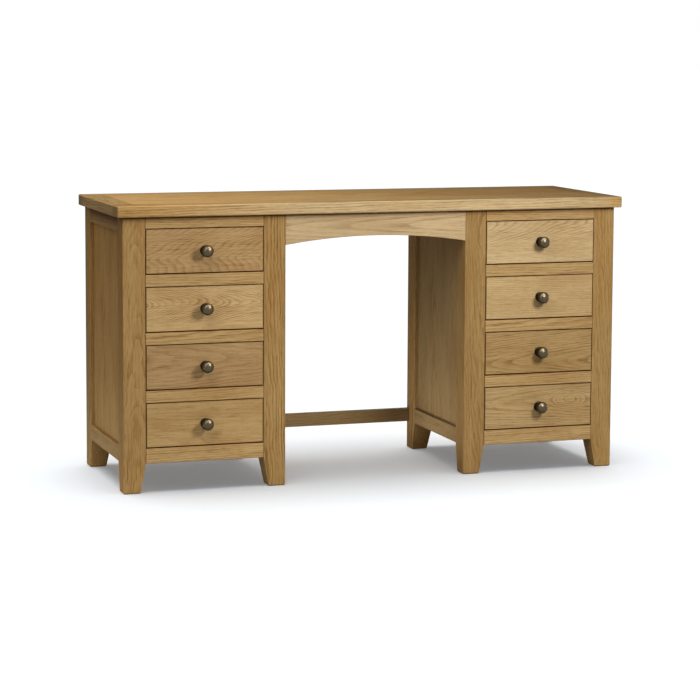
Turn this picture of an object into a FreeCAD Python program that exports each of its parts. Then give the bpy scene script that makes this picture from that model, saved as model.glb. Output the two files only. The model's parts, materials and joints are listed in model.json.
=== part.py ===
# Oak dressing table: a framed top on two pedestals of four drawers, with an arched rail over the kneehole.
# Millimetres, +Z up, front towards -Y, origin on the floor under the middle of the table.
import FreeCAD, Part
import math
import os

# Front of a pedestal, from the floor up
LEG_HEIGHT = 81.0
BOTTOM_RAIL_HEIGHT = 42.0
DRAWER_OPENING_HEIGHT = 123.0
DRAWER_RAIL_HEIGHT = 34.0
TOP_RAIL_HEIGHT = 32.0
DRAWERS = 4

# Plan of the carcass
KNEEHOLE_WIDTH = 526.0
DRAWER_OPENING_WIDTH = 331.0
PEDESTAL_DEPTH = 466.0
POST_SIZE = 62.0
FOOT_SIZE = 48.0
POST_EDGE = 1.5
FOOT_EDGE = 3.0

# Top
TOP_THICK = 31.0
TOP_END_OVERHANG = 17.0
TOP_FRONT_OVERHANG = 16.0
TOP_BACK_OVERHANG = 8.0
TOP_LONG_BAND = 57.0
TOP_END_BAND = 60.0
TOP_TONGUE_LENGTH = 10.0
TOP_TONGUE_THICK = 9.0
TOP_EDGE = 2.5

# Frames at the sides and back of a pedestal
SIDE_TOP_RAIL_HEIGHT = 43.0
LOWER_RAIL_HEIGHT = 43.0
SIDE_RAIL_THICK = 26.0
BACK_RAIL_THICK = 20.0
RAIL_SETBACK = 1.0
SIDE_PANEL_RECESS = 9.5
SIDE_PANEL_THICK = 8.0
BACK_PANEL_RECESS = 7.0
BACK_PANEL_THICK = 6.0
PANEL_TONGUE = 7.0
PANEL_GAP = 0.4

# Rails across the kneehole
ARCH_END_HEIGHT = 85.0
ARCH_CROWN_HEIGHT = 64.0
ARCH_RAIL_THICK = 24.0
KNEEHOLE_BACK_RAIL_HEIGHT = 60.0
KNEEHOLE_BACK_RAIL_THICK = 20.0
STRETCHER_HEIGHT = 39.0
STRETCHER_THICK = 18.0

# Tenons, each cut with a shoulder all round and a glue gap in its mortise
TENON_LENGTH = 20.0
TENON_THICK = 9.0
TENON_SHOULDER = 9.0
DRAWER_TENON_WIDTH = 34.0
DRAWER_TENON_HEIGHT = 14.0
GLUE_GAP = 0.12
RAIL_EDGE = 1.0

# What carries the drawers
RUNNER_BEARING = 14.0
RUNNER_BACKING = 14.0
RUNNER_STUB_LENGTH = 8.0
RUNNER_STUB_HEIGHT = 10.0
RUNNER_STUB_SHOULDER = 2.0
GUIDE_HEIGHT = 20.0
KICKER_THICK = 18.0
STOP_WIDTH = 30.0
STOP_DEPTH = 24.0
STOP_THICK = 7.0
STOP_SPACING = 180.0
STOP_GAP = 0.3

# Wooden buttons that hold the top
BUTTON_WIDTH = 34.0
BUTTON_LENGTH = 14.0
BUTTON_THICK = 16.0
BUTTON_TONGUE_LENGTH = 7.0
BUTTON_TONGUE_THICK = 6.0
BUTTON_SPACING = 190.0

# Drawers
DRAWER_GAP = 2.0
RUNNER_GAP = 0.3
DRAWER_FRONT_THICK = 20.0
DRAWER_FRONT_EDGE = 1.2
DRAWER_SIDE_THICK = 12.0
DRAWER_SIDE_DROP = 4.0
DRAWER_BACK_THICK = 12.0
DRAWER_BACK_DROP = 3.0
DRAWER_BOTTOM_THICK = 6.0
DRAWER_BOTTOM_RAISE = 10.0
DRAWER_BOTTOM_TONGUE = 6.0
DRAWER_BOTTOM_GAP = 0.2
DRAWER_REAR_GAP = 9.0
FRONT_TAILS = 3
BACK_TAILS = 2
DOVETAIL_LAP = 5.0
DOVETAIL_SLOPE = 1.0 / 6.0
PIN_WIDTH = 14.0

# Knobs, turned in narrow flats
KNOB_PROJECTION = 40.0
KNOB_HEAD_RADIUS = 17.0
KNOB_HEAD_HALF = 13.0
KNOB_CROWN_RADIUS = 3.0
KNOB_NECK_RADIUS = 9.0
KNOB_BASE_RADIUS = 14.0
KNOB_BASE_THICK = 5.0
KNOB_BASE_EDGE = 1.5
KNOB_FLATS = 24
KNOB_HEAD_RINGS = 7

# Heights worked out from the front of a pedestal
OPENING_PITCH = DRAWER_OPENING_HEIGHT + DRAWER_RAIL_HEIGHT
LOWEST_OPENING = LEG_HEIGHT + BOTTOM_RAIL_HEIGHT
HIGHEST_OPENING_TOP = LOWEST_OPENING + DRAWERS * OPENING_PITCH - DRAWER_RAIL_HEIGHT
POST_TOP = HIGHEST_OPENING_TOP + TOP_RAIL_HEIGHT
TABLE_HEIGHT = POST_TOP + TOP_THICK

# Distances from the middle of the table, outwards
INNER_FACE = KNEEHOLE_WIDTH / 2
OPENING_START = INNER_FACE + POST_SIZE
OPENING_END = OPENING_START + DRAWER_OPENING_WIDTH
OPENING_MIDDLE = (OPENING_START + OPENING_END) / 2
OUTER_FACE = OPENING_END + POST_SIZE
TOP_END = OUTER_FACE + TOP_END_OVERHANG

# Front and back, with the box round the whole table centred on the origin
FRONT_REACH = max(KNOB_PROJECTION, TOP_FRONT_OVERHANG)
FRONT = FRONT_REACH - (FRONT_REACH + PEDESTAL_DEPTH + TOP_BACK_OVERHANG) / 2
BACK = FRONT + PEDESTAL_DEPTH
FRONT_POST_BACK = FRONT + POST_SIZE
BACK_POST_FRONT = BACK - POST_SIZE
FRAME_MIDDLE = (FRONT_POST_BACK + BACK_POST_FRONT) / 2
TOP_FRONT = FRONT - TOP_FRONT_OVERHANG
TOP_BACK = BACK + TOP_BACK_OVERHANG

# Drawer box
RUNNER_RISE = DRAWER_GAP - RUNNER_GAP
DRAWER_BACK = BACK - RAIL_SETBACK - BACK_RAIL_THICK - DRAWER_REAR_GAP
DRAWER_HEIGHT = DRAWER_OPENING_HEIGHT - 2 * DRAWER_GAP

SIDES = {"left": -1, "right": 1}
ON_PLANE = 0.001


def vector(x, y, z):
    return FreeCAD.Vector(x, y, z)


def across(side, near, far):
    """A pair of X places, given as distances from the middle of the table on one side of it."""
    return tuple(sorted((side * near, side * far)))


def block(bounds):
    """A box of wood between three pairs of places."""
    (x0, x1), (y0, y1), (z0, z1) = bounds
    return Part.makeBox(x1 - x0, y1 - y0, z1 - z0, vector(x0, y0, z0))


def prism(points, direction):
    """A flat outline of straight edges, drawn out along a direction."""
    outline = Part.makePolygon(points + points[:1])
    return Part.Face(outline).extrude(direction)


def grown(bounds, gap):
    return tuple((low - gap, high + gap) for low, high in bounds)


def reaches(bounds, piece):
    """Whether a block enters the box round a piece."""
    box = piece.BoundBox
    limits = ((box.XMin, box.XMax), (box.YMin, box.YMax), (box.ZMin, box.ZMax))
    return all(low < high_limit and low_limit < high
               for (low, high), (low_limit, high_limit) in zip(bounds, limits))


def housed(piece, inserts, gap):
    """A piece with a mortise or groove for each tenon, tongue or panel edge that enters it."""
    tools = [block(grown(insert, gap)) for insert in inserts if reaches(insert, piece)]
    if not tools:
        return piece
    return piece.cut(tools)


def tenoned(piece, tenons):
    return piece.fuse([block(tenon) for tenon in tenons]).removeSplitter()


def eased(piece, size, planes, shared=1):
    """A piece with its edges chamfered where they lie on enough of the given (axis, place) planes."""
    edges = []
    for edge in piece.Edges:
        ends = [vertex.Point for vertex in edge.Vertexes]
        ends.append(edge.valueAt((edge.FirstParameter + edge.LastParameter) / 2))
        count = sum(all(abs(end[axis] - place) < ON_PLANE for end in ends) for axis, place in planes)
        if count >= shared:
            edges.append(edge)
    return piece.makeChamfer(size, edges)


def skinned(rings):
    """A solid of flat faces between rings of points, closed by the first and the last ring."""
    outlines = [rings[0], rings[-1]]
    for lower, upper in zip(rings, rings[1:]):
        for index in range(len(lower)):
            outlines.append([lower[index - 1], lower[index], upper[index], upper[index - 1]])
    faces = [Part.Face(Part.makePolygon(outline + outline[:1])) for outline in outlines]
    shell = Part.makeShell(faces)
    shell.sewShape()
    solid = Part.makeSolid(shell)
    if solid.Volume < 0:
        solid.reverse()
    return solid


def export(name, pieces):
    shape = pieces[0] if len(pieces) == 1 else Part.makeCompound(pieces)
    shape.exportStep("parts/" + name + ".step")


def opening_bottom(row):
    """Floor of a drawer opening, counting rows from the top."""
    return HIGHEST_OPENING_TOP - DRAWER_OPENING_HEIGHT - row * OPENING_PITCH


# Posts
def post(outer_x, outer_y, inward_x, inward_y):
    """A square post with eased corners, whose foot tapers on the two faces that look into the pedestal."""
    stages = (
        (0, FOOT_SIZE, FOOT_EDGE),
        (FOOT_EDGE, FOOT_SIZE, 0),
        (LEG_HEIGHT, POST_SIZE, 0),
        (POST_TOP, POST_SIZE, 0),
    )
    rings = []
    for height, size, inset in stages:
        low = inset
        low_corner = low + POST_EDGE
        high = size - inset
        high_corner = high - POST_EDGE
        corners = (
            (low_corner, low), (high_corner, low), (high, low_corner), (high, high_corner),
            (high_corner, high), (low_corner, high), (low, high_corner), (low, low_corner),
        )
        rings.append([vector(outer_x + inward_x * u, outer_y + inward_y * v, height) for u, v in corners])
    return skinned(rings).removeSplitter()


def pedestal_posts(side_name, housings):
    """The four posts of a pedestal, cut for every tenon and panel edge that enters them."""
    side = SIDES[side_name]
    columns = {"outer": (side * OUTER_FACE, -side), "inner": (side * INNER_FACE, side)}
    rows = {"front": (FRONT, 1), "back": (BACK, -1)}
    for column, (outer_x, inward_x) in columns.items():
        for row, (outer_y, inward_y) in rows.items():
            piece = post(outer_x, outer_y, inward_x, inward_y)
            for inserts, gap in housings:
                piece = housed(piece, inserts, gap)
            export("_".join((side_name, column, row, "post")), [piece])


# Frames of a pedestal
def side_frame(side_name, column, tenons, panels, buttons):
    """Top rail, bottom rail and panel on the outer or inner side of a pedestal."""
    side = SIDES[side_name]
    face, inward = (OUTER_FACE, -1) if column == "outer" else (INNER_FACE, 1)
    rail_face = face + inward * RAIL_SETBACK
    rail_back = rail_face + inward * SIDE_RAIL_THICK
    tenon_face = rail_face + inward * (SIDE_RAIL_THICK - TENON_THICK) / 2
    panel_face = rail_face + inward * SIDE_PANEL_RECESS
    rail_xs = across(side, rail_face, rail_back)
    tenon_xs = across(side, tenon_face, tenon_face + inward * TENON_THICK)
    panel_xs = across(side, panel_face, panel_face + inward * SIDE_PANEL_THICK)
    ys = (FRONT_POST_BACK, BACK_POST_FRONT)
    lower_zs = (LEG_HEIGHT, LEG_HEIGHT + LOWER_RAIL_HEIGHT)
    upper_zs = (POST_TOP - SIDE_TOP_RAIL_HEIGHT, POST_TOP)
    panel = (
        panel_xs,
        (ys[0] - PANEL_TONGUE, ys[1] + PANEL_TONGUE),
        (lower_zs[1] - PANEL_TONGUE, upper_zs[0] + PANEL_TONGUE),
    )
    buttons_here = []
    tongues_here = []
    for offset in (-BUTTON_SPACING / 2, BUTTON_SPACING / 2):
        body, tongue = button(0, side * rail_back, side * inward, FRAME_MIDDLE + offset)
        buttons_here.append(block(body).fuse(block(tongue)).removeSplitter())
        tongues_here.append(tongue)
    rails = []
    for zs in (lower_zs, upper_zs):
        tenon_zs = (zs[0] + TENON_SHOULDER, zs[1] - TENON_SHOULDER)
        rail_tenons = [
            (tenon_xs, (ys[0] - TENON_LENGTH, ys[0]), tenon_zs),
            (tenon_xs, (ys[1], ys[1] + TENON_LENGTH), tenon_zs),
        ]
        rail = eased(block((rail_xs, ys, zs)), RAIL_EDGE, [(0, side * rail_face)])
        rail = tenoned(rail, rail_tenons)
        rail = housed(rail, [panel], PANEL_GAP)
        rails.append(housed(rail, tongues_here, GLUE_GAP))
        tenons.extend(rail_tenons)
    panels.append(panel)
    buttons.extend(buttons_here)
    export("_".join((side_name, column, "side_rails")), rails)
    export("_".join((side_name, column, "side_panel")), [block(panel)])


def back_frame(side_name, tenons, panels):
    """Top rail, bottom rail and panel at the back of a pedestal."""
    side = SIDES[side_name]
    rail_face = BACK - RAIL_SETBACK
    panel_back = rail_face - BACK_PANEL_RECESS
    rail_ys = (rail_face - BACK_RAIL_THICK, rail_face)
    tenon_back = rail_face - (BACK_RAIL_THICK - TENON_THICK) / 2
    tenon_ys = (tenon_back - TENON_THICK, tenon_back)
    lower_zs = (LEG_HEIGHT, LEG_HEIGHT + LOWER_RAIL_HEIGHT)
    upper_zs = (POST_TOP - SIDE_TOP_RAIL_HEIGHT, POST_TOP)
    panel = (
        across(side, OPENING_START - PANEL_TONGUE, OPENING_END + PANEL_TONGUE),
        (panel_back - BACK_PANEL_THICK, panel_back),
        (lower_zs[1] - PANEL_TONGUE, upper_zs[0] + PANEL_TONGUE),
    )
    rails = []
    for zs in (lower_zs, upper_zs):
        tenon_zs = (zs[0] + TENON_SHOULDER, zs[1] - TENON_SHOULDER)
        rail_tenons = [
            (across(side, OPENING_START - TENON_LENGTH, OPENING_START), tenon_ys, tenon_zs),
            (across(side, OPENING_END, OPENING_END + TENON_LENGTH), tenon_ys, tenon_zs),
        ]
        body = block((across(side, OPENING_START, OPENING_END), rail_ys, zs))
        rail = eased(body, RAIL_EDGE, [(1, rail_face)])
        rail = tenoned(rail, rail_tenons)
        rails.append(housed(rail, [panel], PANEL_GAP))
        tenons.extend(rail_tenons)
    panels.append(panel)
    export(side_name + "_back_rails", rails)
    export(side_name + "_back_panel", [block(panel)])


# What carries and guides the drawers
def drawer_rails(side_name, tenons, stubs):
    """Top rail, dividers and bottom rail at the front of a pedestal, flush with its posts."""
    side = SIDES[side_name]
    heights = [(HIGHEST_OPENING_TOP, POST_TOP), (LEG_HEIGHT, LOWEST_OPENING)]
    for row in range(DRAWERS - 1):
        heights.append((opening_bottom(row) - DRAWER_RAIL_HEIGHT, opening_bottom(row)))
    tenon_front = FRONT + (POST_SIZE - DRAWER_TENON_WIDTH) / 2
    tenon_ys = (tenon_front, tenon_front + DRAWER_TENON_WIDTH)
    rails = []
    for zs in heights:
        middle = (zs[0] + zs[1]) / 2
        tenon_zs = (middle - DRAWER_TENON_HEIGHT / 2, middle + DRAWER_TENON_HEIGHT / 2)
        rail_tenons = [
            (across(side, OPENING_START - TENON_LENGTH, OPENING_START), tenon_ys, tenon_zs),
            (across(side, OPENING_END, OPENING_END + TENON_LENGTH), tenon_ys, tenon_zs),
        ]
        body = block((across(side, OPENING_START, OPENING_END), (FRONT, FRONT_POST_BACK), zs))
        rail = tenoned(eased(body, RAIL_EDGE, [(1, FRONT)]), rail_tenons)
        rails.append(housed(rail, stubs, GLUE_GAP))
        tenons.extend(rail_tenons)
    export(side_name + "_drawer_rails", rails)


def carrier(side, edge, inward, zs, stubs):
    """A bar from the drawer rail to the back post, under or over the edge of a drawer."""
    ys = (FRONT_POST_BACK, BACK_POST_FRONT)
    middle = (zs[0] + zs[1]) / 2
    stub_zs = (middle - RUNNER_STUB_HEIGHT / 2, middle + RUNNER_STUB_HEIGHT / 2)
    bearing_end = RUNNER_BEARING - RUNNER_STUB_SHOULDER
    backing_end = RUNNER_BACKING - RUNNER_STUB_SHOULDER
    front_xs = across(side, edge + inward * RUNNER_STUB_SHOULDER, edge + inward * bearing_end)
    back_xs = across(side, edge - inward * RUNNER_STUB_SHOULDER, edge - inward * backing_end)
    front_stub = (front_xs, (ys[0] - RUNNER_STUB_LENGTH, ys[0]), stub_zs)
    back_stub = (back_xs, (ys[1], ys[1] + RUNNER_STUB_LENGTH), stub_zs)
    bar = block((across(side, edge - inward * RUNNER_BACKING, edge + inward * RUNNER_BEARING), ys, zs))
    stubs.extend([front_stub, back_stub])
    return tenoned(bar, [front_stub, back_stub])


def runners(side_name, stubs, kickers):
    """Runners and guide strips of a pedestal, and the kickers that keep its top drawer level."""
    side = SIDES[side_name]
    pieces = []
    for edge, inward in ((OPENING_START, 1), (OPENING_END, -1)):
        for row in range(DRAWERS):
            floor = opening_bottom(row) + RUNNER_RISE
            runner_zs = (opening_bottom(row) - DRAWER_RAIL_HEIGHT, floor)
            pieces.append(carrier(side, edge, inward, runner_zs, stubs))
            guide_xs = across(side, edge - inward * RUNNER_BACKING, edge)
            guide_ys = (FRONT_POST_BACK, BACK_POST_FRONT)
            pieces.append(block((guide_xs, guide_ys, (floor, floor + GUIDE_HEIGHT))))
        kicker_zs = (HIGHEST_OPENING_TOP, HIGHEST_OPENING_TOP + KICKER_THICK)
        kickers.append(carrier(side, edge, inward, kicker_zs, stubs))
    export(side_name + "_drawer_runners", pieces)


def drawer_stops(side_name):
    """Blocks on the drawer rails that the drawer fronts come to rest against."""
    side = SIDES[side_name]
    stop_front = FRONT + DRAWER_FRONT_THICK + STOP_GAP
    stops = []
    for row in range(DRAWERS):
        floor = opening_bottom(row)
        for offset in (-STOP_SPACING / 2, STOP_SPACING / 2):
            middle = OPENING_MIDDLE + offset
            stop_xs = across(side, middle - STOP_WIDTH / 2, middle + STOP_WIDTH / 2)
            stops.append(block((stop_xs, (stop_front, stop_front + STOP_DEPTH), (floor, floor + STOP_THICK))))
    export(side_name + "_drawer_stops", stops)


# Rails across the kneehole
def kneehole_rail(name, outline_body, ys, zs, tenons, tongues=()):
    """Tenon a rail between the inner posts of the two pedestals."""
    middle = (ys[0] + ys[1]) / 2
    tenon_ys = (middle - TENON_THICK / 2, middle + TENON_THICK / 2)
    tenon_zs = (zs[0] + TENON_SHOULDER, zs[1] - TENON_SHOULDER)
    rail_tenons = [
        (across(side, INNER_FACE, INNER_FACE + TENON_LENGTH), tenon_ys, tenon_zs) for side in SIDES.values()
    ]
    tenons.extend(rail_tenons)
    export(name, [housed(tenoned(outline_body, rail_tenons), tongues, GLUE_GAP)])


def kneehole_rails(tenons, buttons):
    """Arched rail at the front, straight rail at the back and low stretcher."""
    end_z = POST_TOP - ARCH_END_HEIGHT
    springing = [vector(side * INNER_FACE, FRONT, end_z) for side in (-1, 1)]
    top_corners = [vector(side * INNER_FACE, FRONT, POST_TOP) for side in (1, -1)]
    crown = vector(0, FRONT, POST_TOP - ARCH_CROWN_HEIGHT)
    outline = Part.Wire([
        Part.Arc(springing[0], crown, springing[1]).toShape(),
        Part.makeLine(springing[1], top_corners[0]),
        Part.makeLine(top_corners[0], top_corners[1]),
        Part.makeLine(top_corners[1], springing[0]),
    ])
    arch = Part.Face(outline).extrude(vector(0, ARCH_RAIL_THICK, 0))
    arch = eased(arch, RAIL_EDGE, [(1, FRONT)])
    arch_back = FRONT + ARCH_RAIL_THICK
    rail_back = BACK - RAIL_SETBACK
    rail_front = rail_back - KNEEHOLE_BACK_RAIL_THICK
    arch_tongues = []
    rail_tongues = []
    for offset in (-BUTTON_SPACING / 2, BUTTON_SPACING / 2):
        for face, inward, tongues in ((arch_back, 1, arch_tongues), (rail_front, -1, rail_tongues)):
            body, tongue = button(1, face, inward, offset)
            buttons.append(block(body).fuse(block(tongue)).removeSplitter())
            tongues.append(tongue)
    arch_zs = (end_z, POST_TOP)
    kneehole_rail("kneehole_arch_rail", arch, (FRONT, arch_back), arch_zs, tenons, arch_tongues)
    span = (-INNER_FACE, INNER_FACE)
    back_zs = (POST_TOP - KNEEHOLE_BACK_RAIL_HEIGHT, POST_TOP)
    back_rail = eased(block((span, (rail_front, rail_back), back_zs)), RAIL_EDGE, [(1, rail_back)])
    kneehole_rail("kneehole_back_rail", back_rail, (rail_front, rail_back), back_zs, tenons, rail_tongues)
    stretcher_ys = (BACK - STRETCHER_THICK, BACK)
    stretcher_zs = (LEG_HEIGHT, LEG_HEIGHT + STRETCHER_HEIGHT)
    stretcher = block((span, stretcher_ys, stretcher_zs))
    stretcher = eased(stretcher, RAIL_EDGE, [(1, stretcher_ys[0]), (1, stretcher_ys[1])])
    kneehole_rail("back_stretcher", stretcher, stretcher_ys, stretcher_zs, tenons)


# Top
def button(axis, face, inward, middle):
    """Body and tongue of a button against a rail's inner face, which looks along one horizontal axis."""
    body_span = tuple(sorted((face, face + inward * BUTTON_LENGTH)))
    tongue_span = tuple(sorted((face, face - inward * BUTTON_TONGUE_LENGTH)))
    width_span = (middle - BUTTON_WIDTH / 2, middle + BUTTON_WIDTH / 2)
    bottom = POST_TOP - BUTTON_THICK
    body_zs = (bottom, POST_TOP)
    tongue_zs = (bottom, bottom + BUTTON_TONGUE_THICK)
    if axis == 0:
        return (body_span, width_span, body_zs), (tongue_span, width_span, tongue_zs)
    return (width_span, body_span, body_zs), (width_span, tongue_span, tongue_zs)


def table_top():
    """Centre panel tongued into two long bands and two end bands."""
    zs = (POST_TOP, TABLE_HEIGHT)
    middle = (POST_TOP + TABLE_HEIGHT) / 2
    tongue_zs = (middle - TOP_TONGUE_THICK / 2, middle + TOP_TONGUE_THICK / 2)
    inner_end = TOP_END - TOP_END_BAND
    inner_front = TOP_FRONT + TOP_LONG_BAND
    inner_back = TOP_BACK - TOP_LONG_BAND
    panel_tongues = [
        ((-inner_end, inner_end), (inner_front - TOP_TONGUE_LENGTH, inner_front), tongue_zs),
        ((-inner_end, inner_end), (inner_back, inner_back + TOP_TONGUE_LENGTH), tongue_zs),
        (across(-1, inner_end, inner_end + TOP_TONGUE_LENGTH), (inner_front, inner_back), tongue_zs),
        (across(1, inner_end, inner_end + TOP_TONGUE_LENGTH), (inner_front, inner_back), tongue_zs),
    ]
    panel = block(((-inner_end, inner_end), (inner_front, inner_back), zs))
    export("top_panel", [tenoned(panel, panel_tongues)])
    outside = [(0, -TOP_END), (0, TOP_END), (1, TOP_FRONT), (1, TOP_BACK), (2, zs[0]), (2, zs[1])]
    end_tenons = []
    for side_name, side in SIDES.items():
        xs = across(side, inner_end, TOP_END)
        tenon_xs = across(side, inner_end + TOP_TONGUE_LENGTH, TOP_END - TOP_TONGUE_LENGTH)
        tenons = [
            (tenon_xs, (inner_front - TENON_LENGTH, inner_front), tongue_zs),
            (tenon_xs, (inner_back, inner_back + TENON_LENGTH), tongue_zs),
        ]
        band = eased(block((xs, (inner_front, inner_back), zs)), TOP_EDGE, outside, 2)
        export("top_%s_end_band" % side_name, [housed(tenoned(band, tenons), panel_tongues, GLUE_GAP)])
        end_tenons.extend(tenons)
    for name, ys in (("front", (TOP_FRONT, inner_front)), ("back", (inner_back, TOP_BACK))):
        band = eased(block(((-TOP_END, TOP_END), ys, zs)), TOP_EDGE, outside, 2)
        export("top_%s_band" % name, [housed(band, panel_tongues + end_tenons, GLUE_GAP)])


# Drawers
def tails(zs, count, base, tip, gap):
    """Dovetail outlines as lists of (y, z), flaring from base to tip, with a gap round each for sockets."""
    pitch = (zs[1] - zs[0]) / count
    flare = abs(tip - base) * DOVETAIL_SLOPE
    base_half = (pitch - PIN_WIDTH) / 2 + gap
    tip_half = base_half + flare
    end = tip + math.copysign(gap, tip - base)
    outlines = []
    for index in range(count):
        middle = zs[0] + (index + 0.5) * pitch
        outlines.append([
            (base, middle - base_half),
            (end, middle - tip_half),
            (end, middle + tip_half),
            (base, middle + base_half),
        ])
    return outlines


def side_prism(points, xs):
    """An outline in the plane of a drawer side, drawn out across its thickness."""
    return prism([vector(xs[0], y, z) for y, z in points], vector(xs[1] - xs[0], 0, 0))


def drawer(side_name, row):
    """Front, dovetailed box and knob of one drawer, shut."""
    side = SIDES[side_name]
    name = "%s_drawer_%d" % (side_name, row + 1)
    bottom = opening_bottom(row) + DRAWER_GAP
    top = bottom + DRAWER_HEIGHT
    side_zs = (bottom, top - DRAWER_SIDE_DROP)
    floor_zs = (bottom + DRAWER_BOTTOM_RAISE, bottom + DRAWER_BOTTOM_RAISE + DRAWER_BOTTOM_THICK)
    back_zs = (floor_zs[1], side_zs[1] - DRAWER_BACK_DROP)
    front_back = FRONT + DRAWER_FRONT_THICK
    back_front = DRAWER_BACK - DRAWER_BACK_THICK
    xs = across(side, OPENING_START + DRAWER_GAP, OPENING_END - DRAWER_GAP)
    inside_xs = (xs[0] + DRAWER_SIDE_THICK, xs[1] - DRAWER_SIDE_THICK)

    floor = (
        (inside_xs[0] - DRAWER_BOTTOM_TONGUE, inside_xs[1] + DRAWER_BOTTOM_TONGUE),
        (front_back - DRAWER_BOTTOM_TONGUE, DRAWER_BACK),
        floor_zs,
    )
    front_tails = (side_zs, FRONT_TAILS, front_back, FRONT + DOVETAIL_LAP)
    back_tails = (back_zs, BACK_TAILS, back_front, DRAWER_BACK)
    outline = [point for tail in tails(*front_tails, 0) for point in tail]
    outline = [(front_back, side_zs[0])] + outline + [(front_back, side_zs[1]), (back_front, side_zs[1])]
    for tail in reversed(tails(*back_tails, 0)):
        outline.extend(reversed(tail))
    outline += [(back_front, floor_zs[1]), (DRAWER_BACK, floor_zs[1]), (DRAWER_BACK, side_zs[0])]

    front = block((xs, (FRONT, front_back), (bottom, top)))
    front = eased(front, DRAWER_FRONT_EDGE, [(1, FRONT)])
    back = block((xs, (back_front, DRAWER_BACK), back_zs))
    sides = []
    front_sockets = []
    back_sockets = []
    for wall_xs, socket_xs in (
        ((xs[0], inside_xs[0]), (xs[0], inside_xs[0] + GLUE_GAP)),
        ((inside_xs[1], xs[1]), (inside_xs[1] - GLUE_GAP, xs[1])),
    ):
        sides.append(housed(side_prism(outline, wall_xs), [floor], DRAWER_BOTTOM_GAP))
        front_sockets += [side_prism(tail, socket_xs) for tail in tails(*front_tails, GLUE_GAP)]
        back_sockets += [side_prism(tail, socket_xs) for tail in tails(*back_tails, GLUE_GAP)]
    front_groove = (inside_xs, floor[1], floor[2])
    front = housed(front.cut(front_sockets), [front_groove], DRAWER_BOTTOM_GAP)
    export(name + "_front", [front])
    export(name + "_box", sides + [back.cut(back_sockets), block(floor)])
    export(name + "_knob", [knob((xs[0] + xs[1]) / 2, (bottom + top) / 2)])


def knob(x, z):
    """A turned knob: flanged base, slim neck and a head that is an ellipse in profile."""
    neck_angle = -math.acos(KNOB_NECK_RADIUS / KNOB_HEAD_RADIUS)
    crown_angle = math.acos(KNOB_CROWN_RADIUS / KNOB_HEAD_RADIUS)
    head_middle = KNOB_PROJECTION - KNOB_HEAD_HALF * math.sin(crown_angle)
    profile = [
        (KNOB_BASE_RADIUS, 0),
        (KNOB_BASE_RADIUS, KNOB_BASE_THICK - KNOB_BASE_EDGE),
        (KNOB_BASE_RADIUS - KNOB_BASE_EDGE, KNOB_BASE_THICK),
        (KNOB_NECK_RADIUS, KNOB_BASE_THICK + KNOB_BASE_EDGE),
    ]
    for ring in range(KNOB_HEAD_RINGS):
        angle = neck_angle + (crown_angle - neck_angle) * ring / (KNOB_HEAD_RINGS - 1)
        profile.append((KNOB_HEAD_RADIUS * math.cos(angle), head_middle + KNOB_HEAD_HALF * math.sin(angle)))
    turns = [2 * math.pi * (flat + 0.5) / KNOB_FLATS for flat in range(KNOB_FLATS)]
    rings = []
    for radius, reach in profile:
        ring = [(x + radius * math.cos(turn), z + radius * math.sin(turn)) for turn in turns]
        rings.append([vector(ring_x, FRONT - reach, ring_z) for ring_x, ring_z in ring])
    return skinned(rings)


def build():
    os.makedirs("parts", exist_ok=True)
    tenons = []
    panels = []
    buttons = []
    stubs = []
    kickers = []
    kneehole_rails(tenons, buttons)
    for side_name in SIDES:
        for column in ("outer", "inner"):
            side_frame(side_name, column, tenons, panels, buttons)
        back_frame(side_name, tenons, panels)
        runners(side_name, stubs, kickers)
        drawer_rails(side_name, tenons, stubs)
        drawer_stops(side_name)
        for row in range(DRAWERS):
            drawer(side_name, row)
    housings = ((tenons, GLUE_GAP), (stubs, GLUE_GAP), (panels, PANEL_GAP))
    for side_name in SIDES:
        pedestal_posts(side_name, housings)
    table_top()
    export("drawer_kickers", kickers)
    export("top_buttons", buttons)


build()
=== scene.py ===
import json
import math

import bmesh
import bpy
from mathutils import Matrix, Vector

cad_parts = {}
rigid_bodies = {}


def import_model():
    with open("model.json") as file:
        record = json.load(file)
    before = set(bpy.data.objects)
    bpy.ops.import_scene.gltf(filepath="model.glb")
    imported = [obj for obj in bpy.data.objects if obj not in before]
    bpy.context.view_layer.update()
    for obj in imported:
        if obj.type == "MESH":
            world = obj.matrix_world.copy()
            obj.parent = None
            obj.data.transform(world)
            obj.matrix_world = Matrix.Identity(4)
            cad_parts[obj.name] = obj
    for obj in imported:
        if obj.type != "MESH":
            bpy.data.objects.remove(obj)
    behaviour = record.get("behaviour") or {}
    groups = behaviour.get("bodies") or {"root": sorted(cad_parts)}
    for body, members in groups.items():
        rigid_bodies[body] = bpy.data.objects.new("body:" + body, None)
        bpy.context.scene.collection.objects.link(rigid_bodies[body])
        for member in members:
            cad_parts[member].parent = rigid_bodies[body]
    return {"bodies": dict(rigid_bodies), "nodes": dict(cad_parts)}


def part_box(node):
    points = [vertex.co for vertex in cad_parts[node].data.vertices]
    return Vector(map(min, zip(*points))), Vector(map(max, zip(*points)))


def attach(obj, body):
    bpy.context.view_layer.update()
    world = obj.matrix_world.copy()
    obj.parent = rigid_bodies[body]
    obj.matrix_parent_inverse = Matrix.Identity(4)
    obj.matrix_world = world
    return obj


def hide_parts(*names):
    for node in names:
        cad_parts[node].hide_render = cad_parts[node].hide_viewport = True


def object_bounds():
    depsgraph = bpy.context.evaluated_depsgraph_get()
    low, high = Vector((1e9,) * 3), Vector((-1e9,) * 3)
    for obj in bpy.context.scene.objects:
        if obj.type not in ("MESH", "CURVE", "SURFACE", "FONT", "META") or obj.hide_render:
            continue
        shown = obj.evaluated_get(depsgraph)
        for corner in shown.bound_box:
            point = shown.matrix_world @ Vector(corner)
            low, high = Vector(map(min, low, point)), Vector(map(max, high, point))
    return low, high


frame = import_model()
cad_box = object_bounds()

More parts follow.
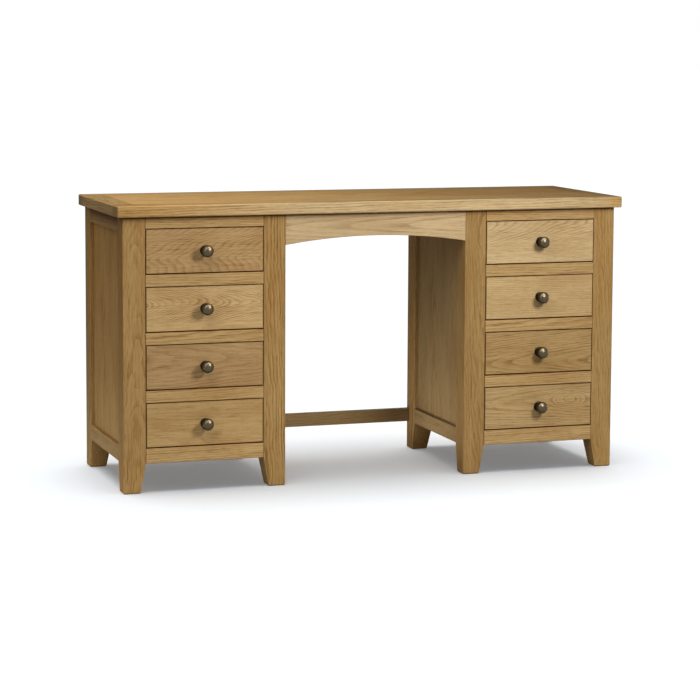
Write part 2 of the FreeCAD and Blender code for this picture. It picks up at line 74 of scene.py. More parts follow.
# Sizes below are in metres, colours are 0 to 255 as a paint chart gives them
# Tints are shares of red, green and blue
MM = 0.001
IMAGE_PIXELS = 700
SIDES = ("left", "right")
DRAWER_ROWS = range(1, 5)
TOP_END = cad_box[1][0]
TOP_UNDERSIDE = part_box("top_front_band")[0].z
MERGE_DISTANCE = 0.01 * MM

# Camera
CAMERA_PLACE = (-2.1284, -6.2686, 1.2448)
CAMERA_YAW = math.radians(18.72)
CAMERA_PITCH = math.radians(6.09)
CAMERA_ROLL = math.radians(0.29)
CAMERA_FOCUS_PIXELS = 2332.2
CAMERA_SHIFT = -0.1
SENSOR_WIDTH = 36.0

# Both walls of the kneehole, without and with their back posts
KNEE_FRAMES = [side + "_inner_" + piece for side in SIDES
               for piece in ("side_panel", "side_rails", "front_post")]
KNEE_WALLS = [*KNEE_FRAMES, "left_inner_back_post", "right_inner_back_post"]
KNOBS = ["%s_drawer_%d_turned_knob" % (side, row) for side in SIDES for row in DRAWER_ROWS]

# Lamps, as place, aim, width, height and power, with the pieces that a lamp alone lights or spares
LAMPS = {
    "key_lamp": dict(place=(0.75, -1.95, 1.5), aim=(0.0, -0.2, 0.45), width=0.6, height=0.6, power=38.0),
    "fill_lamp": dict(place=(-1.3, -1.8, 3.2), aim=(0.0, -0.1, 0.3), width=2.0, height=2.0, power=46.0),
    "strip_lamp": dict(place=(-2.3, -2.1, 2.0), aim=(0.0, 0.0, 0.5), width=0.4, height=1.8, power=16.0),
    "side_lamp": dict(place=(-1.12, 0.0, 0.03), aim=(-0.72, 0.0, 0.14), width=0.6, height=0.1, power=1.25,
                      tint=(0.75, 1.0, 1.6)),
    "edge_lamp": dict(place=(-1.15, 0.3, 0.68), aim=(-0.72, 0.1, 0.7), width=0.3, height=0.1, power=0.25),
    "top_lamp": dict(place=(-0.7, 0.05, 1.8), aim=(-0.7, 0.05, 0.78), width=0.4, height=0.4, power=7.4),
    "back_lamp": dict(place=(0.9, 2.6, 0.42), aim=(0.0, 0.25, 0.4), width=1.6, height=0.6, power=30.0,
                      spares=[*KNEE_FRAMES, "kneehole_arch_rail"]),
    "right_lamp": dict(place=(2.6, 0.4, 0.42), aim=(0.7, 0.0, 0.4), width=1.2, height=0.6, power=19.0),
    "knee_lamp": dict(place=(0.0, 0.0, 0.02), aim=(0.0, 0.0, 0.7), width=0.3, height=0.3, power=1.1,
                      only=KNEE_WALLS),
    "knob_lamp": dict(place=(0.5, -0.85, 2.0), aim=(0.0, -0.24, 0.5), width=1.4, height=1.4, power=45.0,
                      only=KNOBS),
}
WHITE_LIGHT = (1.0, 1.0, 1.0)
SKY_LIGHT = 0.03

# Floor
FLOOR_LAMPS = {
    "floor_lamp": dict(strength=2.4, spread=math.radians(54), tilt=(math.radians(-2.5), math.radians(-3), 0)),
    "floor_sky": dict(strength=0.8, spread=math.radians(150), tilt=(math.radians(-8), math.radians(12), 0)),
}
FLOOR_HALF = 60.0
FLOOR_NEAR = 0.70
FLOOR_FAR = 1.10
FLOOR_COLOUR = (239, 242, 245)
FLOOR_FAR_COLOUR = (78, 78, 78)
FLOOR_GLOW_COLOUR = (0.94, 1.0, 1.06, 1.0)
FLOOR_GLOW = 0.17
FLOOR_FAR_GLOW = 1.0

# Oak
OAK_LIGHT = (190, 159, 109)
OAK_DARK = (128, 95, 53)
OAK_WARM = (172, 130, 78)
# Paler edges, partly rubbed wear and partly painted highlight
OAK_WORN_HIGHLIGHT = (206, 177, 130)
PORE_COLOUR = (98, 68, 36)
RIM_COLOUR = (84, 36, 2)
STAIN_TINT = (1.0, 0.84, 0.60)
RING_WIDTH = 6.0 * MM
SEAM_WIDTH = 2.5 * MM
CHAMFER_LEAN = math.sin(math.pi / 4)
OAK_COAT = 0.04
OAK_COAT_ROUGHNESS = 0.35
GRAIN_TURN = {"X": (0, math.pi / 2, 0), "Y": (-math.pi / 2, 0, 0), "Z": (0, 0, 0)}
ACROSS_GRAIN = (1, 1, 0)
# How dark a ring is from its start to its end, as share of the ring and darkness
SEASON = ((0.0, 1.0), (0.2, 0.75), (0.5, 0.15), (0.9, 0.0), (1.0, 1.0))
# A knot is longer along the board, and only its core is dark
KNOT_STRETCH = (0.6, 0.0, 1.0)
KNOT_CORE = 0.35
# Ring lines are whole up to this share of their reach
CALM_SHARE = 0.4
# Lumps of each pattern, across, across and along the grain
BEND_LUMPS = (0.07, 0.07, 0.16)
PORE_LUMPS = (0.7 * MM, 0.7 * MM, 14 * MM)
FIBRE_LUMPS = (2.0 * MM, 2.0 * MM, 0.20)
FLECK_LUMPS = (1.6 * MM, 1.6 * MM, 28 * MM)
FADE_LUMPS = (0.02, 0.02, 0.09)
CLOUD_LUMPS = (0.06, 0.06, 0.25)
NOISE_MIDDLE = (0.5, 0.5, 0.5)
PLAIN_DETAIL = 1.0
FINE_DETAIL = 3.0
# Where each pattern begins to show and where it shows in full
FADE_BAND = (0.25, 0.75)
PORE_BAND = (0.56, 0.70)
FLECK_BAND = (0.40, 0.80)
WARM_BAND = (0.45, 0.75)
WEAR_HIGHLIGHT_BAND = (0.35, 0.65)
# The same for faces, by how squarely they look along an axis
EDGE_BAND = (0.97, 0.90)
FACING_BAND = (0.6, 0.9)
SHOW_FACE_BAND = (0.80, 0.95)
SIDE_FACE_BAND = (0.50, 0.30)
# What is left of a line or a pore where it is faintest
YEAR_LEAST = 0.4
FADE_LEAST = 0.2
PORE_LEAST = 0.4
# How much each pattern darkens or colours the wood
DARKNESS_START = -0.66
LINE_DARKNESS = 1.3
FLECK_DARKNESS = 0.42
CLOUD_DARKNESS = 0.55
WARM_SHARE = 0.30
PORE_SHARE = 0.40
WORN_HIGHLIGHT_SHARE = 0.35
END_SHARE = 0.35
# How much each pattern roughens or sinks the wood
OAK_ROUGHNESS = 0.50
PORE_ROUGHNESS = 0.2
FIBRE_ROUGHNESS = 0.12
RING_RELIEF = 0.25
RELIEF_STRENGTH = 0.5
RELIEF_DEPTH = 0.2 * MM

# Shade under the top, as depth of tone and how far down it reaches
FRONT_CORNER = (0.6, 18 * MM)
SIDE_CORNER = (0.9, 42 * MM)
# Shade inside a drawer opening, on upright chamfers, level chamfers and sides
RAIL_RIM = (0.95, 0.95, 0.95)
FRONT_RIM = (0.75, 0.35, 0.25)

# Boards: where the heart of each log lies from the middle of its piece, and how the saw ran through it
# A knot lies across and up from the middle, and has a size, a rise of the rings and a darkness
# Level is painted shade on the faces of a board that look up and down
BOARDS = {
    "left_drawer_1_front": dict(shade=0.925, warmth=1.08, rose=0.045, heart=(0, 0.050, -0.030), lean=-0.25,
                                folds=(2.3 * MM, 42 * MM), contrast=0.45),
    "left_drawer_2_front": dict(shade=1.16, warmth=0.95, heart=(0, 0.004, 0.016), lean=0.22, ring=5 * MM,
                                reach=0.07, wave=0.030, contrast=0.8),
    "left_drawer_3_front": dict(shade=0.9, warmth=1.07, rose=0.055, heart=(0, 0.060, 0.020), lean=0.05,
                                wave=0.014, contrast=0.5),
    "left_drawer_4_front": dict(shade=0.945, warmth=1.07, heart=(0, 0.090, -0.050), lean=0.04, contrast=0.2,
                                knots=((0.031, -0.031, 0.045, 0.010, 0.3),)),
    "right_drawer_1_front": dict(shade=1.08, warmth=0.8, heart=(0, 0.020, 0.060), lean=0.22, wave=0.022,
                                 reach=0.09),
    "right_drawer_2_front": dict(shade=1.045, warmth=0.91, heart=(0, 0.030, -0.220), lean=0.01, wave=0.006,
                                 ring=5 * MM, contrast=0.5),
    "right_drawer_3_front": dict(shade=0.82, warmth=1.06, heart=(0, 0.020, -0.027), lean=-0.08, wave=0.012,
                                 contrast=0.55),
    "right_drawer_4_front": dict(shade=0.925, warmth=0.96, heart=(0, 0.030, 0.015), lean=-0.05, wave=0.014,
                                 knots=((0.095, 0.019, 0.040, -0.020, 0.0),)),
    "kneehole_arch_rail": dict(shade=1.08, warmth=0.79, rose=0.025, heart=(0, 0.008, 0.006), lean=-0.045,
                               wave=0.005, contrast=0.5, ring=8 * MM, flecked=0.2, corner=FRONT_CORNER),
    "kneehole_back_rail": dict(heart=(0, 0.060, 0.030)),
    # The back stretcher is given a darker tone as painted shade, for its place low under the back of the
    # table
    "back_stretcher": dict(shade=0.625, warmth=0.97, heart=(0, 0.050, 0.060), contrast=0.3, flecked=0.2),
    "top_front_band": dict(shade=1.16, warmth=0.77, level_shade=(0.67, 0.65, 0.6), heart=(0, 0.030, 0.090),
                           lean=0.02, wave=0.008, stains=((-TOP_END, 0.65), (TOP_END, 0.08)),
                           knots=((-0.675, -0.020, 0.020, 0.006, 0.4), (-TOP_END, 0, 0.4, 0, 0.22),
                                  (TOP_END, 0, 0.6, 0, 0.3))),
    "top_back_band": dict(shade=0.85, heart=(0, -0.040, 0.100), lean=0.02),
    # The top panel's broad dark patch on its right half and the dark right end band are partly the wood's
    # tone and partly painted shade, where light falls off towards the right
    "top_panel": dict(shade=0.97, warmth=1.16, seam=0.6, heart=(0, 0.050, -0.080), lean=0.03, wave=0.014,
                      knots=((0.6, 0, 1.2, 0, 0.2),)),
    "top_left_end_band": dict(shade=0.92, warmth=1.12, level_shade=(0.72, 0.72, 0.72), grain="Y",
                              heart=(0.020, 0, -0.060), lean=0.04, contrast=0.35),
    "top_right_end_band": dict(shade=0.66, warmth=1.2, grain="Y", heart=(-0.030, 0, -0.070), lean=0.04),
}
# Flank is painted shade on the faces of a post that look sideways
POSTS = {
    "left_outer_front": dict(shade=0.873, flank_shade=(0.97, 0.81, 0.63), heart=(0.010, 0.045, 0), lean=0.05,
                             wave=0.022, contrast=0.45),
    "left_inner_front": dict(shade=0.83, heart=(-0.040, 0.050, 0), lean=0.02, wave=0.016, contrast=0.85),
    "right_inner_front": dict(shade=0.70, heart=(0.035, 0.055, 0), lean=-0.03, wave=0.018, contrast=0.5),
    "right_outer_front": dict(shade=0.785, heart=(-0.035, 0.055, 0), lean=0.03, wave=0.024, contrast=0.5),
    "left_outer_back": dict(shade=0.83, warmth=1.38, heart=(0.050, -0.030, 0)),
    "left_inner_back": dict(shade=0.76, heart=(-0.050, -0.040, 0)),
    "right_inner_back": dict(shade=0.74, heart=(0.050, -0.045, 0)),
    "right_outer_back": dict(shade=0.78, heart=(-0.045, -0.035, 0)),
}
POST_STYLE = dict(grain="Z", lean=0.03, wave=0.012, ring=4 * MM, warmth=1.2, corner=FRONT_CORNER)
SIDE_GRAIN = {"side_rails": "Y", "side_panel": "Z"}
SIDE_STYLE = dict(heart=(0.05, 0.03, 0.04), lean=0.03, contrast=0.4, corner=SIDE_CORNER)
SIDE_TONES = {
    "outer_side_panel": dict(shade=1.0, warmth=1.5),
    "outer_side_rails": dict(shade=0.84, warmth=1.33),
    # The kneehole walls take a darker tone as painted shade of the kneehole
    "inner_side_panel": dict(shade=0.645, warmth=0.97),
    "inner_side_rails": dict(shade=0.645, warmth=0.97),
}
RAIL_STYLE = dict(heart=(0, 0.08, 0.05), lean=0.02, contrast=0.7, rim=RAIL_RIM, corner=FRONT_CORNER)
RAIL_TONES = {"left": dict(shade=1.04, warmth=1.05), "right": dict(shade=0.95, warmth=1.03)}
HIDDEN_GRAIN = {"back_rails": "X", "back_panel": "Z", "drawer_runners": "Y", "drawer_stops": "X"}
HIDDEN_STYLE = dict(heart=(0, 0.08, 0.05), lean=0.02, contrast=0.4)
BLOCK_STYLE = dict(heart=(0.05, 0, 0.05), grain="Y", contrast=0.4)
BOX_STYLE = dict(heart=(0.05, 0, 0.04), shade=1.12, warmth=0.85, contrast=0.35)
DRAWER_SIDE_THICK = 12 * MM
CHEEK_ROOM = 0.2 * MM

# Screws
SCREW_SEGMENTS = 24
SCREW_RADIUS = 4.0 * MM
SCREW_TOP_RADIUS = 2.8 * MM
SCREW_HEAD = 1.8 * MM
SLOT_HALF = 0.5 * MM
SLOT_DEPTH = 0.8 * MM
SLOT_CUT_DISTANCE = 0.001 * MM
LOOKS_UP = 0.9
BUTTON_LEVEL = 0.1 * MM
SCREW_COLOUR = (150, 146, 138)
SCREW_MOTTLE_LUMPS = (2 * MM, 2 * MM, 2 * MM)
SCREW_STAIN = 0.5
SCREW_ROUGHNESS = 0.30
SCREW_MOTTLE_ROUGHNESS = 0.15

# Knob, turned about an axis square to the drawer front
KNOB_STEPS = 48
KNOB_EDGE_POINTS = 4
KNOB_NECK_POINTS = 7
KNOB_ARC_POINTS = 20
KNOB_BASE_RADIUS = 14 * MM
KNOB_BASE_THICK = 5 * MM
KNOB_BASE_EDGE = 1.5 * MM
KNOB_NECK_RADIUS = 9 * MM
KNOB_NECK_FLARE = 3
KNOB_HEAD_HALF = 13 * MM
KNOB_COLOUR = (86, 75, 57)
# The dark of the painted shade round a knob's neck and base, which fades out along its reach; it also stains
# the screws
KNOB_DARK = (27, 21, 15)
KNOB_SHADE_FADE_START = 20 * MM
KNOB_SHADE_FADE_END = 40 * MM
KNOB_SHADE_PATCH_LEAST = 0.6
KNOB_SHADE_PATCH_MOTTLE = 0.8
KNOB_MOTTLE_LUMPS = (6 * MM, 6 * MM, 6 * MM)
KNOB_ROUGHNESS = 0.24
KNOB_MOTTLE_ROUGHNESS = 0.12

# A mixing node has inputs of the same name for each kind, so they go by place: first, second and result
MIX_SOCKETS = {"RGBA": (6, 7, 2), "VECTOR": (4, 5, 1)}
# The curve between paint-chart values and light
CHART_WHITE = 255
CURVE_START = 0.04045
CURVE_SLOPE = 12.92
CURVE_OFFSET = 0.055
CURVE_POWER = 2.4


def linear(colour, shade=1.0, warmth=1.0, rose=0.0):
    """A paint-chart colour as the shader wants it, times a shade.

    Warmth above 1 turns it to orange, rose to pink.
    """
    channels = []
    for value in colour:
        share = value / CHART_WHITE
        if share <= CURVE_START:
            channels.append(share / CURVE_SLOPE)
        else:
            channels.append(((share + CURVE_OFFSET) / (1 + CURVE_OFFSET)) ** CURVE_POWER)
    red, green, blue = channels
    green = red * (green / red) ** (warmth + rose)
    blue = red * (blue / red) ** (warmth - rose)
    return (red * shade, green * shade, blue * shade, 1.0)


class Finish:
    """The nodes of a new material or world, and short ways to add to them."""

    def __init__(self, owner):
        self.owner = owner
        owner.use_nodes = True
        self.tree = owner.node_tree
        self.tree.nodes.clear()

    def add(self, kind, sockets=None, **settings):
        made = self.tree.nodes.new(kind)
        for setting, value in settings.items():
            setattr(made, setting, value)
        for socket, value in (sockets or {}).items():
            if isinstance(value, bpy.types.NodeSocket):
                self.tree.links.new(value, made.inputs[socket])
            else:
                made.inputs[socket].default_value = value
        return made

    def coordinates(self):
        return self.add("ShaderNodeTexCoord").outputs["Object"]

    def math(self, operation, *values):
        made = self.add("ShaderNodeMath", dict(enumerate(values)), operation=operation)
        return made.outputs["Value"]

    def vector(self, operation, *values, output="Vector"):
        made = self.add("ShaderNodeVectorMath", dict(enumerate(values)), operation=operation)
        return made.outputs[output]

    def split(self, vector):
        return self.add("ShaderNodeSeparateXYZ", {"Vector": vector}).outputs

    def noise(self, vector, sizes, detail=2.0, output="Fac"):
        """Noise whose lumps have the given sizes along the three axes."""
        scaled = self.vector("DIVIDE", vector, sizes)
        made = self.add("ShaderNodeTexNoise", {"Vector": scaled, "Scale": 1.0, "Detail": detail})
        return made.outputs[output]

    def ease(self, value, low, high):
        """0 at low, 1 at high and smooth between."""
        made = self.add("ShaderNodeMapRange", {"Value": value, "From Min": low, "From Max": high},
                        interpolation_type="SMOOTHSTEP")
        return made.outputs["Result"]

    def at_least(self, value, least):
        """A value from 0 to 1 squeezed so that it starts at the least one."""
        return self.math("MULTIPLY_ADD", value, 1 - least, least)

    def ramp(self, value, stops):
        made = self.add("ShaderNodeValToRGB", {"Fac": value})
        elements = made.color_ramp.elements
        while len(elements) < len(stops):
            elements.new(1.0)
        for element, (place, shade) in zip(elements, stops):
            element.position = place
            element.color = (shade, shade, shade, 1.0)
        return made.outputs["Color"]

    def mix(self, share, first, second, blend="MIX", kind="RGBA"):
        first_socket, second_socket, result = MIX_SOCKETS[kind]
        made = self.add("ShaderNodeMix", {"Factor": share, first_socket: first, second_socket: second},
                        data_type=kind, blend_type=blend)
        return made.outputs[result]

    def tint(self, share, colour, tint):
        """A colour multiplied by a tint, as far as the share says."""
        return self.mix(share, colour, (*tint, 1.0), "MULTIPLY")

    def shown_rays(self):
        """1 for what the camera sees, also in metal or through glass, and 0 for what lights the table."""
        rays = self.add("ShaderNodeLightPath").outputs
        shown = self.math("MAXIMUM", rays["Is Camera Ray"], rays["Is Glossy Ray"])
        return self.math("MAXIMUM", shown, rays["Is Transmission Ray"])

    def surface(self, shader, output="ShaderNodeOutputMaterial"):
        self.add(output, {"Surface": shader})
        return self.owner


def log_place(finish, coordinates, heart, grain):
    """Place measured from the heart of the log, with the grain along the third axis."""
    mapping = finish.add("ShaderNodeMapping", {"Vector": coordinates, "Location": heart,
                                               "Rotation": GRAIN_TURN[grain]}, vector_type="TEXTURE")
    return mapping.outputs["Vector"]


def along_cheeks(finish, coordinates, place, heart, cheeks):
    """Grain from front to back in the two sides of a drawer box, outside the given half width."""
    middle, half_width = cheeks
    sides_place = log_place(finish, coordinates, heart, "Y")
    off_middle = finish.math("ABSOLUTE", finish.math("SUBTRACT", finish.split(coordinates)["X"], middle))
    in_side = finish.math("GREATER_THAN", off_middle, half_width)
    return finish.mix(in_side, place, sides_place, kind="VECTOR")


def growth_rings(finish, coordinates, place, ring, lean, wave, folds, reach, knots):
    """The lines of the growth rings, the season within each ring, and the dark of the knots."""
    drift = finish.vector("SUBTRACT", finish.noise(place, BEND_LUMPS, FINE_DETAIL, "Color"), NOISE_MIDDLE)
    bent = finish.vector("MULTIPLY_ADD", drift, (wave, wave, wave), place)
    radius = finish.vector("LENGTH", finish.vector("MULTIPLY", bent, ACROSS_GRAIN), output="Value")
    parts = finish.split(bent)
    radius = finish.math("MULTIPLY_ADD", parts["Z"], lean, radius)
    if folds:
        fold_height, fold_length = folds
        fold = finish.math("SINE", finish.math("MULTIPLY", parts["X"], 2 * math.pi / fold_length))
        radius = finish.math("MULTIPLY_ADD", fold, fold_height, radius)
    knot_dark = 0.0
    for knot_place, size, rise, darkness in knots:
        offset = finish.vector("SUBTRACT", coordinates, knot_place)
        distance = finish.vector("LENGTH", finish.vector("MULTIPLY", offset, KNOT_STRETCH), output="Value")
        radius = finish.math("MULTIPLY_ADD", finish.ease(distance, size, 0.0), rise, radius)
        core = finish.ease(distance, size * KNOT_CORE, 0.0)
        knot_dark = finish.math("MULTIPLY_ADD", core, darkness, knot_dark)

    phase = finish.math("DIVIDE", radius, ring)
    year = finish.add("ShaderNodeTexWhiteNoise", {"W": finish.math("FLOOR", phase)}, noise_dimensions="1D")
    season = finish.ramp(finish.math("FRACT", phase), SEASON)
    fade = finish.ease(finish.noise(place, FADE_LUMPS), *FADE_BAND)
    line = finish.math("MULTIPLY", season, finish.at_least(year.outputs["Value"], YEAR_LEAST))
    line = finish.math("MULTIPLY", line, finish.at_least(fade, FADE_LEAST))
    calm = finish.ease(finish.math("ABSOLUTE", parts["X"]), reach, reach * CALM_SHARE)
    return finish.math("MULTIPLY", line, calm), season, knot_dark


def fine_figure(finish, place, season):
    """Pores, flecks, fibres and clouds, each from 0 to 1."""
    pores = finish.ease(finish.noise(place, PORE_LUMPS, PLAIN_DETAIL), *PORE_BAND)
    pores = finish.math("MULTIPLY", pores, finish.at_least(season, PORE_LEAST))
    flecks = finish.ease(finish.noise(place, FLECK_LUMPS), *FLECK_BAND)
    fibres = finish.noise(place, FIBRE_LUMPS, FINE_DETAIL)
    clouds = finish.noise(place, CLOUD_LUMPS, FINE_DETAIL)
    return pores, flecks, fibres, clouds


def wood_colour(finish, place, tone, darkness, pores):
    """Pale to dark wood with warm patches and dark pores."""
    colour = finish.mix(darkness, linear(OAK_LIGHT, *tone), linear(OAK_DARK, *tone))
    warm = finish.ease(finish.noise(place, CLOUD_LUMPS), *WARM_BAND)
    colour = finish.mix(finish.math("MULTIPLY", warm, WARM_SHARE), colour, linear(OAK_WARM, *tone))
    return finish.mix(finish.math("MULTIPLY", pores, PORE_SHARE), colour, linear(PORE_COLOUR, *tone))


def worn_and_highlit_edges(finish, colour, tone, looks, clouds, grain):
    """Edges paler, partly as rubbed wear and partly as painted highlight, and end grain darker."""
    widest = finish.math("MAXIMUM", looks["X"], finish.math("MAXIMUM", looks["Y"], looks["Z"]))
    wear_and_highlight = finish.math("MULTIPLY", finish.ease(widest, *EDGE_BAND), finish.ease(clouds, *WEAR_HIGHLIGHT_BAND))
    colour = finish.mix(finish.math("MULTIPLY", wear_and_highlight, WORN_HIGHLIGHT_SHARE), colour, linear(OAK_WORN_HIGHLIGHT, *tone))
    ends = finish.math("MULTIPLY", finish.ease(looks[grain], *FACING_BAND), END_SHARE)
    return finish.mix(ends, colour, linear(PORE_COLOUR, *tone))


def stained(finish, colour, coordinates, stains):
    """Warmer wood round places along the width of the table."""
    for stain_place, spread in stains:
        off_stain = finish.math("SUBTRACT", finish.split(coordinates)["X"], stain_place)
        near = finish.ease(finish.math("ABSOLUTE", off_stain), spread, 0.0)
        colour = finish.tint(near, colour, STAIN_TINT)
    return colour


def rim_shade(finish, looks, rim):
    """How dark the edges and sides of a piece in a drawer opening are, and where its show face is."""
    upright_edge, level_edge, side_shade = rim
    show_face = finish.ease(looks["Y"], *SHOW_FACE_BAND)
    side_face = finish.ease(looks["Y"], *SIDE_FACE_BAND)
    edge_change = (level_edge - upright_edge) / CHAMFER_LEAN
    edge_shade = finish.math("MULTIPLY_ADD", looks["Z"], edge_change, upright_edge)
    beside = finish.math("SUBTRACT", side_shade, edge_shade)
    inside = finish.math("MULTIPLY_ADD", side_face, beside, edge_shade)
    return finish.math("MULTIPLY", inside, finish.math("SUBTRACT", 1.0, show_face)), show_face


def seam_shade(finish, coordinates, box, seam):
    """How dark the joint round the sides of a panel is."""
    low, high = box
    off_middle = finish.vector("ABSOLUTE", finish.vector("SUBTRACT", coordinates, (low + high) / 2))
    inset = finish.split(finish.vector("SUBTRACT", (high - low) / 2, off_middle))
    nearest = finish.math("MINIMUM", inset["X"], inset["Y"])
    return finish.math("MULTIPLY", finish.ease(nearest, SEAM_WIDTH, 0.0), seam)


def corner_shade(finish, coordinates, corner):
    """How dark a piece is close under the top."""
    depth_of_tone, reach_down = corner
    near_top = finish.ease(finish.split(coordinates)["Z"], TOP_UNDERSIDE - reach_down, TOP_UNDERSIDE)
    return finish.math("MULTIPLY", near_top, depth_of_tone)


def oak(name, heart, grain="X", ring=RING_WIDTH, lean=0.06, wave=0.010, folds=None, reach=1.0, knots=(),
        contrast=0.6, flecked=FLECK_DARKNESS, shade=1.0, warmth=1.0, rose=0.0, flank_shade=None, level_shade=None,
        stains=(), rim=None, seam=0.0, box=None, corner=None, cheeks=None):
    """Oak sawn from a log whose heart passes through a place.

    Growth rings lie a ring apart, lean along the grain, wave and fold, and show as far as they reach from
    the heart. Flank and level tint the faces that look sideways and up with painted shade, and stains warm
    the wood near a place. Rim and corner darken the edges in a drawer opening and the wood under the top as
    painted shade, and seam darkens the joint round a panel. Cheeks turn the grain in the sides of a drawer
    box.
    """
    finish = Finish(bpy.data.materials.new(name))
    coordinates = finish.coordinates()
    place = log_place(finish, coordinates, heart, grain)
    if cheeks:
        place = along_cheeks(finish, coordinates, place, heart, cheeks)
    line, season, knot_dark = growth_rings(finish, coordinates, place, ring, lean, wave, folds, reach, knots)
    pores, flecks, fibres, clouds = fine_figure(finish, place, season)

    darkness = finish.math("MULTIPLY_ADD", line, LINE_DARKNESS * contrast, DARKNESS_START)
    darkness = finish.math("ADD", darkness, fibres)
    darkness = finish.math("MULTIPLY_ADD", flecks, flecked, darkness)
    darkness = finish.math("MULTIPLY_ADD", clouds, CLOUD_DARKNESS, darkness)
    darkness = finish.math("ADD", darkness, knot_dark)
    darkness = finish.math("MINIMUM", finish.math("MAXIMUM", darkness, 0.0), 1.0)
    tone = (shade, warmth, rose)
    colour = wood_colour(finish, place, tone, darkness, pores)

    normal = finish.add("ShaderNodeNewGeometry").outputs["Normal"]
    looks = finish.split(finish.vector("ABSOLUTE", normal))
    colour = worn_and_highlit_edges(finish, colour, tone, looks, clouds, grain)
    # Painted shade: faces that look sideways and up take a darker tint
    for axis, tint in (("X", flank_shade), ("Z", level_shade)):
        if tint:
            colour = finish.tint(finish.ease(looks[axis], *FACING_BAND), colour, tint)
    colour = stained(finish, colour, coordinates, stains)
    coat = OAK_COAT
    if rim:
        inside, show_face = rim_shade(finish, looks, rim)
        colour = finish.mix(inside, colour, linear(RIM_COLOUR))
        coat = finish.math("MULTIPLY", show_face, OAK_COAT)
    if seam:
        colour = finish.mix(seam_shade(finish, coordinates, box, seam), colour, linear(RIM_COLOUR))
    if corner:
        colour = finish.mix(corner_shade(finish, coordinates, corner), colour, linear(RIM_COLOUR))

    relief = finish.math("MULTIPLY_ADD", season, -RING_RELIEF, finish.math("MULTIPLY", pores, -1.0))
    bump = finish.add("ShaderNodeBump", {
        "Height": relief, "Strength": RELIEF_STRENGTH, "Distance": RELIEF_DEPTH})
    rough = finish.math("MULTIPLY_ADD", fibres, FIBRE_ROUGHNESS, OAK_ROUGHNESS)
    rough = finish.math("MULTIPLY_ADD", pores, PORE_ROUGHNESS, rough)
    shader = finish.add("ShaderNodeBsdfPrincipled", {
        "Base Color": colour, "Roughness": rough, "Normal": bump.outputs["Normal"],
        "Specular IOR Level": 0.0, "Coat Weight": coat, "Coat Roughness": OAK_COAT_ROUGHNESS})
    return finish.surface(shader.outputs["BSDF"])


def centre_of(node):
    low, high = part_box(node)
    return (low + high) / 2


def dress(node, heart, knots=(), **style):
    """Puts oak on a node. The heart of its log and its knots are placed from the middle of the piece."""
    centre = centre_of(node)
    knots = [(centre + Vector((across, 0, up)), *rest) for across, up, *rest in knots]
    slots = frame["nodes"][node].data.materials
    slots.clear()
    slots.append(oak(node + "_oak", centre + Vector(heart), knots=knots, box=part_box(node), **style))


def finish_boards():
    """Drawer fronts, the top, what spans the kneehole, and posts."""
    for node, board in BOARDS.items():
        dress(node, rim=FRONT_RIM if node.endswith("_front") else None, **board)
    for name, post in POSTS.items():
        dress(name + "_post", **{**POST_STYLE, **post})


def finish_pedestal(side):
    """Sides and back of a pedestal, its drawer rails, what carries the drawers, and the drawer boxes."""
    for column in ("outer", "inner"):
        for piece, grain in SIDE_GRAIN.items():
            tones = SIDE_TONES[column + "_" + piece]
            dress("_".join((side, column, piece)), grain=grain, **SIDE_STYLE, **tones)
    for piece, grain in HIDDEN_GRAIN.items():
        dress(side + "_" + piece, grain=grain, **HIDDEN_STYLE)
    dress(side + "_drawer_rails", **RAIL_STYLE, **RAIL_TONES[side])
    for row in DRAWER_ROWS:
        node = "%s_drawer_%d_box" % (side, row)
        low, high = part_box(node)
        half_inside = (high.x - low.x) / 2 - DRAWER_SIDE_THICK - CHEEK_ROOM
        dress(node, cheeks=(centre_of(node).x, half_inside), **BOX_STYLE)


def place_mesh(name, shape, material):
    """An object at the origin from a finished shape."""
    mesh = bpy.data.meshes.new(name)
    shape.to_mesh(mesh)
    shape.free()
    mesh.materials.append(material)
    made = bpy.data.objects.new(name, mesh)
    bpy.context.scene.collection.objects.link(made)
    return made


def metal_surface(finish, colour, rough):
    shader = finish.add("ShaderNodeBsdfPrincipled", {
        "Base Color": colour, "Roughness": rough, "Metallic": 1.0})
    return finish.surface(shader.outputs["BSDF"])


def knob_metal(front):
    """Dark bronzed metal with painted shade, darkest round the neck and base and fading out on the head."""
    finish = Finish(bpy.data.materials.new("knob_metal"))
    coordinates = finish.coordinates()
    mottle = finish.noise(coordinates, KNOB_MOTTLE_LUMPS, FINE_DETAIL)
    reach = finish.math("SUBTRACT", front, finish.split(coordinates)["Y"])
    out_of_shade = finish.ease(reach, KNOB_SHADE_FADE_START, KNOB_SHADE_FADE_END)
    patchy = finish.math("MULTIPLY_ADD", mottle, KNOB_SHADE_PATCH_MOTTLE, KNOB_SHADE_PATCH_LEAST)
    out_of_shade = finish.math("MINIMUM", finish.math("MULTIPLY", out_of_shade, patchy), 1.0)
    colour = finish.mix(out_of_shade, linear(KNOB_DARK), linear(KNOB_COLOUR))
    rough = finish.math("MULTIPLY_ADD", mottle, KNOB_MOTTLE_ROUGHNESS, KNOB_ROUGHNESS)
    return metal_surface(finish, colour, rough)


